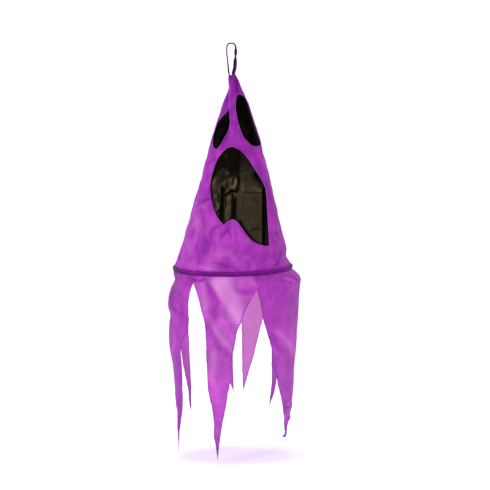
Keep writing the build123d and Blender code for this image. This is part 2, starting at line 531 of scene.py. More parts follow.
def rod_material(name):
    """Pale glass-fibre rod with fine lengthwise fibres."""
    n = Nodes(bpy.data.materials.new(name))
    fibres = n.noise(300.0, 4, 0.7)
    base = n.ramp(fibres, [(0.3, (0.55, 0.55, 0.5)), (0.7, (0.78, 0.78, 0.72))])
    normal = n.bump(fibres, 0.3, 0.0002)
    return n.finish(n.principled({"Base Color": base, "Roughness": 0.35, "Normal": normal}))


def ferrule_material(name):
    """Drawn aluminium tube, scratched a little."""
    n = Nodes(bpy.data.materials.new(name))
    scratches = n.noise(500.0, 3, 0.6, (0.2, 1, 1))
    rough = n.add("ShaderNodeMapRange", {"Value": scratches, "To Min": 0.22, "To Max": 0.45}).outputs[0]
    values = {"Base Color": (0.72, 0.72, 0.74, 1), "Metallic": 1.0, "Roughness": rough}
    return n.finish(n.principled(values | {"Normal": n.bump(scratches, 0.2, 0.0001)}))


# colours of the nylon's painted shade and painted light
PAINTED_SHADE_PURPLE = (0.15, 0.001, 0.26)
PAINTED_LIGHT_PINK = (0.88, 0.40, 0.80)
purple_cloth = thin_cloth(
    "purple_nylon",
    front=(0.485, 0.022, 0.60),
    through=(0.72, 0.245, 0.565),
    dark=(0.30, 0.004, 0.43),
    painted_shade_colour=PAINTED_SHADE_PURPLE,
    painted_light_colour=PAINTED_LIGHT_PINK,
    share_through=0.5,
)
turned_edge_cloth = thin_cloth(
    "purple_turned_edge",
    front=(0.54, 0.06, 0.64),
    through=(0.68, 0.28, 0.56),
    dark=(0.38, 0.02, 0.50),
    painted_shade_colour=PAINTED_SHADE_PURPLE,
    painted_light_colour=PAINTED_LIGHT_PINK,
    share_through=0.3,
)
mouth_cloth = satin_lining("black_satin", gloss=0.02, smoothest=0.36, roughest=0.50)
# painted shade: the same satin as the mouth's lining, made duller so that the eyes look darker
eye_cloth = satin_lining("black_satin_shaded", gloss=0.004, smoothest=0.5, roughest=0.65)
dark_binding = binding_tape("purple_binding", (0.168, 0.001, 0.215), (0.10, 0.0007, 0.135))
loop_tape_material = binding_tape("purple_tape", (0.09, 0.002, 0.115), (0.025, 0.002, 0.034))
purple_thread = thread_material("purple_thread", (0.42, 0.05, 0.52))
dark_thread = thread_material("dark_thread", (0.10, 0.008, 0.16))

# ---------------------------------------------------------------- the cone's shape

CONE_HEIGHT = TIP_Z - CONE_FOOT_Z
CONE_HALF_ANGLE = math.atan2(CONE_FOOT_RADIUS - TIP_RADIUS, CONE_HEIGHT)
DEVELOP = math.sin(CONE_HALF_ANGLE)  # the turn on the flat sector for each turn round the cone
SLANT = CONE_HEIGHT / math.cos(CONE_HALF_ANGLE)
SLANT_START = TIP_RADIUS / DEVELOP
HOOP_TILT = 0.017  # the right-hand side of the hoop hangs a little higher

# How the hung cloth differs from a straight cone, against the share of the way down: its extra radius,
# and how far it stands to the right
CONE_FULLER = [
    (-0.02, -0.3), (0, 1.4), (0.02, 1.3), (0.06, -0.6), (0.11, 1.6), (0.19, 4.0), (0.3, 4.9), (0.5, 3.2),
    (0.7, 0.6), (0.88, -1.0), (1, -0.3),
]
CONE_SWAY = [
    (-0.02, -1.2), (0, -0.2), (0.02, 1.5), (0.06, 5.0), (0.12, 5.8), (0.5, 5.4), (0.75, 3.0), (1, 0),
]
TIP_FLATTENING = 0.62  # the share of its depth that the cone loses at the tip, where it is pressed flat
TIP_FLAT_LENGTH = 0.045  # the share of the way down over which it rounds out again


def cone_share(z):
    """How far down the cone a height is, from 0 at the tip to 1 at the foot."""
    return (TIP_Z - np.asarray(z, float)) / CONE_HEIGHT


def cone_to_flat(places):
    """(degrees, height) on the cone to the place on its flat sector of cloth."""
    slant = SLANT_START + SLANT * cone_share(places[:, 1])
    turn = np.radians(places[:, 0]) * DEVELOP
    return np.stack([slant * np.sin(turn), -slant * np.cos(turn)], 1)


def flat_to_cone(flat):
    """The other way: a place on the flat sector to (degrees, height)."""
    slant = np.hypot(*flat.T)
    turn = np.arctan2(flat[:, 0], -flat[:, 1])
    share = (slant - SLANT_START) / SLANT
    return np.stack([np.degrees(turn / DEVELOP), TIP_Z - share * CONE_HEIGHT], 1)


def tilt_at(x, z):
    """How much the hoop's tilt lifts a point: nothing at the tip, all of it from the foot down."""
    return HOOP_TILT * x * smoothstep(0, 1, cone_share(z))


def cone_at(places, outwards):
    """Points on the hung cone for (degrees, height) places, moved outwards by an amount in millimetres."""
    angle, z = np.radians(places[:, 0]), places[:, 1]
    share = cone_share(z)
    across = TIP_RADIUS + (CONE_FOOT_RADIUS - TIP_RADIUS) * share + curve_through(CONE_FULLER, share)
    flattened = TIP_FLATTENING * np.exp(-share / TIP_FLAT_LENGTH)
    x = curve_through(CONE_SWAY, share) + (across + outwards) * np.sin(angle)
    y = -(across * (1 - flattened) + outwards) * np.cos(angle)
    return np.stack([x, y, z + tilt_at(x, z)], 1)


# The face, as (degrees, height): each outline is runs of points that meet at corners
MOUTH = [
    [(43.5, -418.5), (45.5, -405), (51, -350), (55.5, -315), (56.5, -300)],
    [(56.5, -300), (50.5, -283), (36, -255), (20.5, -229), (7, -216.7), (-10, -211.5), (-26.5, -220.5),
     (-38, -238), (-44, -262), (-44.5, -292), (-38, -316), (-29.5, -341), (-22, -357.5), (-13, -372)],
    [(-13, -372), (-7.5, -363.5), (-1.5, -360), (4.5, -366.5), (12, -384), (19.5, -401), (27.5, -411.5),
     (36, -417), (43.5, -418.5)],
]
RIGHT_EYE = [
    [(24, -105.5), (5.5, -111), (-1, -127), (2.5, -150), (11.5, -177), (20.5, -195), (34.5, -208.5),
     (46.5, -213.7), (65, -214), (88, -209), (103, -180), (106, -146), (82, -121), (50, -108.5),
     (24, -105.5)],
]
LEFT_EYE = [
    [(-28, -133.5), (-39, -144), (-58, -155), (-74, -167), (-80, -185), (-72, -203), (-60, -214.5),
     (-48, -219), (-40, -214), (-30.5, -198), (-20.5, -181), (-17, -166), (-18.5, -156), (-28, -133.5)],
]
FACE = {"mouth": MOUTH, "right_eye": RIGHT_EYE, "left_eye": LEFT_EYE}
FACE_STEP = 2.6  # between the points of a cut-out's edge
face_outlines = {name: outline_through(runs, cone_to_flat, FACE_STEP) for name, runs in FACE.items()}

# Folds pressed into the front of the cone, as (line of (across, height) points, width, strength): above 0 a
# ridge with a painted highlight, below 0 a groove with painted shade
CONE_FOLDS = [
    ([(-76, -340), (-69, -332), (-61, -325), (-48, -320)], 4.5, -0.4),
    ([(-61, -304), (-55, -291), (-51, -276)], 12.5, -0.3),
    ([(-78, -346), (-66, -337)], 4, 0.18),
    ([(-63, -320), (-51, -312)], 4.5, 0.15),
    ([(-63, -360), (-60, -369), (-53, -379)], 4.5, -0.18),
    ([(-78, -362), (-72, -383)], 19, 0.18),
    ([(-55, -337), (-45, -360)], 14.5, 0.12),
    ([(-29, -374), (-36, -378), (-43, -383), (-47, -393), (-46, -399)], 5.5, -0.4),
    ([(-49, -401), (-55, -413), (-59, -430), (-68, -449)], 16.5, -0.22),
    ([(-75, -419), (-74, -437), (-70, -451)], 6.5, -0.2),
    ([(-34, -404), (-39, -425)], 4, -0.22),
    ([(-24, -394), (-17, -386), (-10, -383), (-6, -389), (-3, -399)], 5, -0.4),
    ([(0, -365), (-1, -385), (1, -403)], 4.5, 0.2),
    ([(-95, -413), (-88, -431)], 16.5, 0.15),
    ([(-28, -428), (-7, -424)], 23, 0.13),
    ([(-41, -447), (-28, -451), (-15, -455), (-9, -459)], 5, -0.38),
    ([(-9, -449), (-2, -457), (8, -462)], 4, -0.36),
    ([(-68, -459), (-42, -461), (-22, -464)], 7, 0.22),
    ([(-1, -440), (14, -450)], 12.5, 0.12),
    ([(32, -447), (35, -463)], 4.5, -0.2),
    ([(43, -447), (41, -461)], 9.5, 0.12),
    ([(74, -445), (76, -459)], 4.5, 0.3),
    ([(102, -435), (98, -444), (91, -457)], 6.5, -0.4),
    ([(81, -396), (91, -395), (103, -394)], 8.5, -0.25),
    ([(81, -388), (91, -385), (100, -384)], 4.5, 0.15),
    ([(-55, -248), (-63, -283)], 5.5, 0.18),
    ([(-50, -250), (-54, -281)], 6.5, -0.25),
    ([(45, -228), (45, -236)], 9.5, -0.3),
    ([(52, -243), (65, -271)], 9.5, -0.25),
    ([(-5, -90), (-6, -120), (-5, -150), (0, -190)], 5, 0.35),
    ([(3, -95), (4, -130), (3, -160)], 4, 0.25),
    ([(-12, -110), (-15, -128)], 7, -0.5),
    ([(-1, -100), (-2, -140), (-3, -165)], 3, -0.25),
    ([(8, -82), (10, -98)], 8, -0.7),
]


def cone_folds(places):
    """The painted light and shade, and the lift, of the folds in the front of the cone, at (degrees, height)
    places.
    """
    points = cone_at(places, 0)
    front = smoothstep(0.0, 0.25, np.cos(np.radians(places[:, 0])))
    painted_shading, lift = pressed_folds(points[:, 0], points[:, 2], CONE_FOLDS)
    return painted_shading * front, lift * front


def cone_creases(points):
    """Sharp-crested creases all over the cone's cloth, from 0 to about 1, as (broad ones, narrow ones)."""
    broad = ridges_at(points * (1, 1, 0.7) + (31, 7, 3), 34)
    narrow = ridges_at(points * (1, 1, 0.6) + (3, 47, 3), 16)
    return broad, narrow


def cone_relief(places, flat):
    """How far the cone's cloth stands out from its smooth shape: hung folds, creases and gathers.

    Heights of folds and the lengths that the noise is scaled to are in millimetres.
    """
    points = cone_at(places, 0)
    share = np.clip(cone_share(places[:, 1]), 0, 1)
    x, z = points[:, 0], points[:, 2]
    front = smoothstep(0.1, 0.6, np.cos(np.radians(places[:, 0])))
    slow = 2.2 * noise_at(points * (1, 1, 0.45), 70) * smoothstep(0.05, 0.35, share)
    broad, narrow = cone_creases(points)
    crumple = 2.1 * (broad - 0.5) * smoothstep(0.1, 0.4, share)
    crumple += 1.1 * (narrow - 0.5) * smoothstep(0.05, 0.3, share)
    # the cloth is stretched smoother on the right
    crumple *= 1 - 0.5 * smoothstep(0.3, 0.9, x / (60 + 70 * share))
    fine = 0.5 * noise_at(points * (1, 1, 0.5) + (5, 70, 9), 10, 2)
    gathers = 1.5 * noise_at(np.stack([places[:, 0] * 2.1, places[:, 1] * 0.16, 0 * x], 1), 9, 2)
    gathers *= smoothstep(0.86, 0.985, share) * (1 - smoothstep(0.985, 1.0, share) * 0.5)
    # a fold that runs down from the tip between the eyes, with a hollow on each side
    fold = smoothstep(0.0, 0.02, share) * (1 - smoothstep(0.2, 0.3, share)) * front
    fold = fold * (1.5 * bump_at(x, -4.5, 4) - 1.3 * bump_at(x, -9.5, 5) - 0.8 * bump_at(x, 1.5, 5))
    # two dents in the outline: low on the right, and beside the mouth on the left
    pulled_in = -6.0 * bump_at(z, -446, 24) * smoothstep(100, 118, x)
    pulled_in -= 2.2 * bump_at(z, -275, 60) * smoothstep(-50, -66, x)
    # the cloth lies smoother close to the cut-outs, where the linings are sewn to it
    calm = smoothstep(1.5, 12, distance_to(flat, np.concatenate(list(face_outlines.values()))))
    marks = 0.55 * cone_folds(places)[1]
    return (slow + crumple + marks + pulled_in) * (0.25 + 0.75 * calm) + (fine + gathers + fold) * calm


CONE_SPACING = 2.5  # between the points of the cloth's mesh
CONE_EDGE_STEP = 3.2  # between the points of its straight edges
CONE_FOOT_STEP = 1.4  # degrees between the points of its foot
CONE_TOP_STEP = 24  # and of its top edge
CONE_ABOVE_TIP = 3.4  # how far the cloth's top edge goes up over the feet of the loop
CONE_TOP_SLOPE = 2.0  # how much further up it goes on the right, and less far on the left
CONE_INTO_SLEEVE = 3.2  # how far its foot goes down into the sleeve


def make_cone():
    """The cone's cloth: a sector with the face cut out, its two straight edges meeting at the back."""
    foot = CONE_FOOT_Z - CONE_INTO_SLEEVE
    top = TIP_Z + CONE_ABOVE_TIP
    turns = np.arange(-180, 180, CONE_TOP_STEP)
    top_edge = [(d, top + CONE_TOP_SLOPE * math.sin(math.radians(d))) for d in turns]
    right_edge = [(180, z) for z in np.arange(top, foot, -CONE_EDGE_STEP)]
    foot_edge = [(d, foot) for d in np.arange(180, -180, -CONE_FOOT_STEP)]
    left_edge = [(-180, z) for z in np.arange(foot, top, CONE_EDGE_STEP)]
    outline = cone_to_flat(np.array(top_edge + right_edge + foot_edge + left_edge, float))
    flat, faces = cut_cloth(outline, list(face_outlines.values()), CONE_SPACING)
    places = flat_to_cone(flat)
    out = cone_relief(places, flat)
    # smooth at the back seam, so that the two straight edges meet
    out *= smoothstep(0, 0.03, 1.0 - np.abs(places[:, 0]) / 180)
    cloth = new_piece("cone_cloth", cone_at(places, out), faces, flat, purple_cloth)
    share = cone_share(places[:, 1])
    points = cone_at(places, 0)
    x = points[:, 0]
    broad, narrow = cone_creases(points)
    # painted light and shade along the folds and creases
    shade = cone_folds(places)[0] + 0.16 * (broad + 0.6 * narrow - 0.9)
    # painted shade: darker at the tip, where the cloth is doubled, over its upper part, and down the
    # right-hand side;
    # painted light low on the left
    shade -= 0.25 * bump_at(share, 0, 0.05) + 0.36 * (1 - smoothstep(0.22, 0.5, share))
    shade -= 0.24 * smoothstep(25, 70, x) * smoothstep(0.35, 0.7, share)
    shade += 0.08 * bump_at(x, -52, 60) * smoothstep(0.6, 0.9, share)
    set_shade(cloth, shade)
    area = flat_area(outline) - sum(flat_area(o) for o in face_outlines.values())
    span = outline.max(0) - outline.min(0)
    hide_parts("cone")
    return cloth, span * MM, area * MM * MM


def follow_cone(piece):
    """A piece sewn to the cone swings with it."""
    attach(piece, "cone")
    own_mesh(piece)


cone_cloth, cone_flat, cone_area = make_cone()
follow_cone(cone_cloth)


def grown(outline, amount):
    """A closed outline moved outwards by an amount."""
    along = np.roll(outline, -1, 0) - np.roll(outline, 1, 0)
    along /= np.linalg.norm(along, axis=1, keepdims=True)
    x, y = outline.T
    turn = 1 if np.sum(x * np.roll(y, -1) - y * np.roll(x, -1)) > 0 else -1
    return outline + amount * turn * np.stack([along[:, 1], -along[:, 0]], 1)


# Folds of the mouth's lining, each with a painted highlight (above 0) and painted shade (below 0) and a
# lift:
# crumpled on the left, flat with a pressed line across it on the right
MOUTH_FOLDS = [
    ([(-33, -276), (-29, -266), (-23, -262), (-15, -262), (-11, -266)], 7, 0.3),
    ([(-24, -268), (-14, -268)], 6, 0.12),
    ([(-18, -229), (-15, -232)], 6.5, 0.22),
    ([(-45, -295), (-40, -285), (-37, -278)], 6.5, 0.45),
    ([(-38, -291), (-40, -303), (-39, -317)], 5.5, 0.35),
    ([(-35, -313), (-35, -329)], 3, 0.4),
    ([(-32, -304), (-32, -329)], 2, -0.6),
    ([(-38, -342), (-32, -337), (-31, -329)], 5.5, 0.6),
    ([(-22, -296), (-23, -322), (-24, -347), (-25, -367)], 7, -0.9),
    ([(-14, -349), (-12, -365)], 2.5, 0.35),
    ([(-31, -306), (-28, -298), (-23, -290), (-15, -282), (-7, -278), (1, -277)], 6, 0.36),
    ([(-22, -296), (-12, -288), (-4, -284)], 8, 0.18),
    ([(-8, -286), (8, -283)], 12, 0.2),
    ([(-13, -293), (-14, -287), (-11, -284)], 3.5, -0.5),
    ([(-15, -307), (-8, -298), (-1, -293)], 6, 0.4),
    ([(0, -277), (0, -289)], 2.5, -0.6),
    ([(7, -277), (6, -287), (3, -295)], 5, 0.5),
    ([(13, -275), (13, -291), (11, -299)], 3.5, -0.8),
    ([(-16, -311), (-10, -307), (-3, -303), (6, -303), (12, -300)], 4, -1.1),
    ([(-11, -315), (-11, -332), (-10, -357)], 8, 0.32),
    ([(-5, -316), (-6, -334), (-5, -352)], 5, 0.30),
    ([(-14, -318), (-15, -336)], 3, -0.35),
    ([(4, -308), (9, -311)], 4, 0.55),
    ([(0, -310), (-1, -332), (-2, -359)], 3.5, -1),
    ([(6, -318), (5, -336), (3, -359)], 4, -1),
    ([(14, -275), (13, -289)], 4, -0.7),
    ([(18, -273), (23, -267), (33, -266)], 4.5, 0.2),
    ([(22, -283), (22, -300)], 6.5, 0.16),
    ([(45, -295), (53, -301), (60, -304)], 5.5, 0.28),
    ([(50, -271), (62, -292)], 14.5, -0.35),
    ([(25, -305), (41, -306), (64, -308)], 2.5, -0.4),
    ([(67, -303), (67, -335), (67, -382), (66, -416)], 6.5, -1),
    ([(40, -384), (45, -381), (52, -379), (57, -382)], 4, -0.35),
    ([(36, -311), (45, -324)], 3.5, -0.18),
    ([(47, -317), (55, -331)], 4, -0.2),
    ([(23, -316), (22, -340)], 3.5, -0.2),
    ([(16, -364), (20, -373), (30, -388), (42, -402), (56, -413)], 8.5, -0.5),
]


def mouth_lining_folds(places):
    """The painted highlight on the mouth's lining, from 0 to 1, where its folds would catch the light, and
    how far its folds stand out.
    """
    points = cone_at(places, 0)
    x, z = points[:, 0], points[:, 2]
    painted_shading, lift = pressed_folds(x, z, MOUTH_FOLDS)
    flat_side = smoothstep(9, 16, x - 0.06 * (z + 300))
    # painted highlight: dark at the top, paler lower down, and paler on the flat right side
    painted_highlight_left = 0.02 + 0.25 * smoothstep(-262, -300, z) * (1 - 0.3 * smoothstep(-340, -370, z))
    painted_highlight_right = 0.12 + 0.36 * smoothstep(-235, -305, z)
    fine = ridges_at(points * (1, 1, 0.5) + (3, 0, 50), 9) - 0.6
    painted_highlight = painted_highlight_left + 0.22 * fine * smoothstep(-262, -290, z)
    painted_highlight = painted_highlight * (1 - flat_side) + (painted_highlight_right + 0.06 * fine) * flat_side
    broken = 0.35 + 1.1 * np.clip(0.5 + noise_at(points * (1, 1, 0.6), 7, 2), 0, 1)
    # painted highlights and painted shade of the folds, and painted shade right of the upright crease
    painted_highlight += np.where(painted_shading > 0, painted_shading * broken, painted_shading) - 0.25 * smoothstep(66, 70, x)
    crumple = 1.8 * (ridges_at(points * (1, 1, 0.55) + (3, 0, 50), 21) - 0.6) * (1 - flat_side)
    behind = -3.0 * smoothstep(64, 68, x) * smoothstep(-285, -305, z)
    return np.clip(painted_highlight, 0, 1.2), 0.30 * lift + crumple + 0.7 * noise_at(points, 46, 2) + behind


def eye_lining_folds(places):
    """The eyes' lining is nearly black, with a faint painted highlight and a few soft folds."""
    points = cone_at(places, 0)
    soft = noise_at(points * (1, 1, 0.5), 20, 2)
    return 0.01 + 0.05 * smoothstep(0, 0.5, soft), 1.2 * soft - 0.4


LINING_MARGIN = 3.6  # how far a lining reaches past its cut-out, to be sewn down
LINING_BEHIND = 1.3  # how far behind the cone's cloth it is sewn
LINING_SLACK = 1.2  # how much further back it hangs inside the cut-out


def make_lining(name, cloth, folds, spacing):
    """One black lining behind its cut-out: it stands off inwards and is sewn down round its edge."""
    hole = face_outlines[name]
    outline = grown(hole, LINING_MARGIN)
    flat, faces = cut_cloth(outline, [], spacing)
    places = flat_to_cone(flat)
    margin = distance_to(flat, hole) * np.where(inside(flat, hole), 1, -1)
    free = smoothstep(0, 9, margin)
    painted_highlight, relief = folds(places)
    # its folds go back more than forward, where they would come out through the cut-out
    relief = np.where(relief > 0, 0.45 * relief, relief)
    out = -LINING_BEHIND - LINING_SLACK * smoothstep(-3, 4, margin) + relief * free
    out += cone_relief(places, flat) * (1 - free)
    lining = new_piece(f"{name}_lining", cone_at(places, out), faces, flat, cloth)
    # painted shade: the highlight fades out towards the edge, where the cut-out's rim hides the lining
    set_shade(lining, painted_highlight * smoothstep(0.5, 4.0, margin))
    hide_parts(f"{name}_patch")
    follow_cone(lining)


make_lining("mouth", mouth_cloth, mouth_lining_folds, spacing=1.35)
make_lining("right_eye", eye_cloth, eye_lining_folds, spacing=3.0)
make_lining("left_eye", eye_cloth, eye_lining_folds, spacing=3.0)


def on_cone(flat, lift):
    """Points of the hung cone at flat places, standing off by lift."""
    places = flat_to_cone(flat)
    return cone_at(places, cone_relief(places, flat) + lift)


EDGE_BEAD_RADIUS = 0.75  # of the cloth's turned edge round a cut-out
EDGE_BEAD_LIFT = 0.15  # how far its middle line stands off the cloth
STITCHES_FROM_EDGE = 2.4
STITCH_LIFT = 0.25  # how far the middle of a stitch stands off the cloth


def make_face_edges():
    """The turned edge round each cut-out, and the row of stitches beside it."""
    holes = face_outlines.values()
    edges = [tube(on_cone(hole, EDGE_BEAD_LIFT), EDGE_BEAD_RADIUS, closed=True) for hole in holes]
    bead = new_piece("face_turned_edges", *joined(edges), material=turned_edge_cloth)
    follow_cone(bead)
    lines = [grown(hole, STITCHES_FROM_EDGE) for hole in holes]
    rows = [stitches(on_cone(np.concatenate([line, line[:1]]), STITCH_LIFT)) for line in lines]
    sewn = new_piece("face_stitching", *joined(rows), material=purple_thread)
    follow_cone(sewn)


make_face_edges()

SEAM_START = 24  # how far below the tip the back seam starts
SEAM_WIDTH = 8.0  # of the turned edges on the flat cloth
SEAM_DEPTH = 5  # how far inwards the turned edges stand at the tip
SEAM_DEPTH_GROWS = 3.0  # and how much further at the foot
SEAM_BEHIND = 0.9  # from the cone's cloth to the start of the turned edges
SEAM_ASIDE = 0.5  # how far beside the middle they stand
SEAM_WAVE = 0.8  # how far their free edge waves to each side
SEAM_WAVE_STRETCH = 11.0  # millimetres along the seam for each radian of the wave
STITCH_ROWS_APART = 2.6


def make_back_seam():
    """The seam at the back: the turned edges inside, and two rows of stitches outside."""
    heights = np.linspace(TIP_Z - SEAM_START, CONE_FOOT_Z - 1, 90)
    shares = np.linspace(0, 1, 4)
    rows = []
    for z in heights:
        places = np.array([(180.0, z)] * len(shares))
        depth = SEAM_DEPTH + SEAM_DEPTH_GROWS * cone_share(z)
        row = cone_at(places, -SEAM_BEHIND - shares * depth)
        row[:, 0] += SEAM_WAVE * shares * math.sin(z / SEAM_WAVE_STRETCH) + SEAM_ASIDE
        rows.append(row)
    points, faces = swept_strip(rows)
    uv = np.array([(share * SEAM_WIDTH, z) for z in heights for share in shares])
    seam = new_piece("cone_seam_allowance", points, faces, uv, purple_cloth)
    # painted shade: the turned edges inside the cone are a little darker
    set_shade(seam, np.full(len(points), -0.1))
    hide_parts("cone_back_seam")
    follow_cone(seam)
    lines = []
    for side in (-1, 1):
        line = cone_at(np.array([(180.0, z) for z in heights]), 0.3)
        line[:, 0] += side * STITCH_ROWS_APART / 2
        lines.append(stitches(line))
    sewn = new_piece("cone_seam_stitching", *joined(lines), material=purple_thread)
    follow_cone(sewn)


make_back_seam()

# ---------------------------------------------------------------- the sleeve round the hoop

SLEEVE_START = -31.0  # where the binding's two ends lap, in degrees
SLEEVE_LAP = 4.5  # in degrees
SLEEVE_WRAP = 2 * math.pi * 1.09  # the binding goes once round the rod, and laps over itself
SLEEVE_CORNER = 0.82  # below 1, so the folded binding is squarer than an ellipse
SLEEVE_OVERLAP_LIFT = 0.7  # how far its end stands off its start, where it laps over it
BINDING_WIDTH = 31.0  # flat, before it is folded
STITCH_WRAP = 0.42  # where round the fold the binding is sewn through


def sleeve_point(degrees, wrap):
    """A point of the folded binding: wrap 0 is its outer free edge, on the outside of the hoop."""
    # narrower at its top and bottom, a little uneven, and spiralling in, so its end lies under its start
    angle = math.radians(degrees)
    pinch = 1 - 0.10 * abs(math.sin(wrap)) ** 3
    pucker = noise.noise(Vector((degrees * 0.35, math.cos(wrap) * 0.8, math.sin(wrap) * 0.8)))
    slow = noise.noise(Vector((degrees * 0.035, 4, 2)))
    layer = 0.55 * float(1 - smoothstep(0.0, 2 * math.pi, wrap)) - 0.2
    half_width = SLEEVE_HALF_WIDTH * pinch + 0.35 * pucker + layer
    half_height = SLEEVE_HALF_HEIGHT + 0.3 * pucker + 0.3 * slow + layer
    turn = wrap + 0.15 * slow
    c, s = math.cos(turn), math.sin(turn)
    out = math.copysign(abs(c) ** SLEEVE_CORNER, c) * half_width
    up = math.copysign(abs(s) ** SLEEVE_CORNER, s) * half_height
    over_its_start = degrees > SLEEVE_START + 360
    radius = HOOP_RADIUS + out + (SLEEVE_OVERLAP_LIFT if over_its_start else 0.0)
    x = radius * math.sin(angle)
    return (x, -radius * math.cos(angle), HOOP_Z + up + HOOP_TILT * x)


def sleeve_shade(degrees, wrap):
    """Painted highlight above its free edge, in streaks, and painted shade along the lap and towards the
    hoop's two sides.
    """
    side = math.sin(math.radians(degrees))
    highlight_streaks = max(0, 0.3 + 1.2 * noise.noise(Vector((degrees * 0.06, 0, 0))))
    shade = 0.28 * math.exp(-((wrap - 0.75) / 0.4) ** 2) * highlight_streaks
    shade -= 0.5 * math.exp(-((wrap - 2 * math.pi) / 0.25) ** 2)
    return shade - 0.55 * float(smoothstep(0.72, 0.97, -side)) - 0.30 * float(smoothstep(0.85, 0.99, side))


def make_sleeve():
    """Dark binding wrapped round the hoop, its free edge lapped along the outside and sewn through."""
    wraps = np.linspace(0, SLEEVE_WRAP, 30)
    degrees = np.arange(SLEEVE_START, SLEEVE_START + 360 + SLEEVE_LAP, 1.0)
    points, faces = swept_strip([[sleeve_point(d, w) for w in wraps] for d in degrees])
    uv = [(math.radians(d) * HOOP_RADIUS, w / SLEEVE_WRAP * BINDING_WIDTH) for d in degrees for w in wraps]
    sleeve = new_piece("sleeve_binding", points, faces, uv, dark_binding)
    set_shade(sleeve, [sleeve_shade(d, w) for d in degrees for w in wraps])
    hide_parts("hoop_sleeve")
    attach(sleeve, "hoop")
    line = np.array([sleeve_point(d, STITCH_WRAP) for d in np.arange(SLEEVE_START, SLEEVE_START + 360, 1.0)])
    line[:, :2] *= 1 + STITCH_LIFT / HOOP_RADIUS
    row = stitches(line, length=2.6, gap=1.1, radius=0.26)
    sewn = new_piece("sleeve_stitching", *row, material=dark_thread)
    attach(sewn, "hoop")


make_sleeve()

# ---------------------------------------------------------------- the skirt's tails

# How far the skirt stands out from the hoop's middle line, against the drop below it
SKIRT_FRONT = [(0, 0), (6, 0), (14, 3), (40, 4.5), (150, 5), (420, 3)]
SKIRT_RIGHT = [
    (0, 0), (5, 1.5), (12, 8), (20, 16), (27, 19), (36, 18), (60, 16), (90, 14), (149, 10.5), (200, 7),
    (292, 4.5), (420, 4),
]
SKIRT_BACK = [(0, 0), (6, 0), (15, 2), (60, 5), (420, 1)]
SKIRT_LEFT = [
    (0, 0), (6, 1.5), (12, 1), (23, -1), (45, 8), (60, 12), (80, 12), (95, 7), (111, 9), (168, 9),
    (200, 5.5), (420, 5),
]
SKIRT_INNER_RADIUS = HOOP_RADIUS + 0.3
FLAT_RADIUS = 126.0  # the radius that a tail's angles are turned into widths at

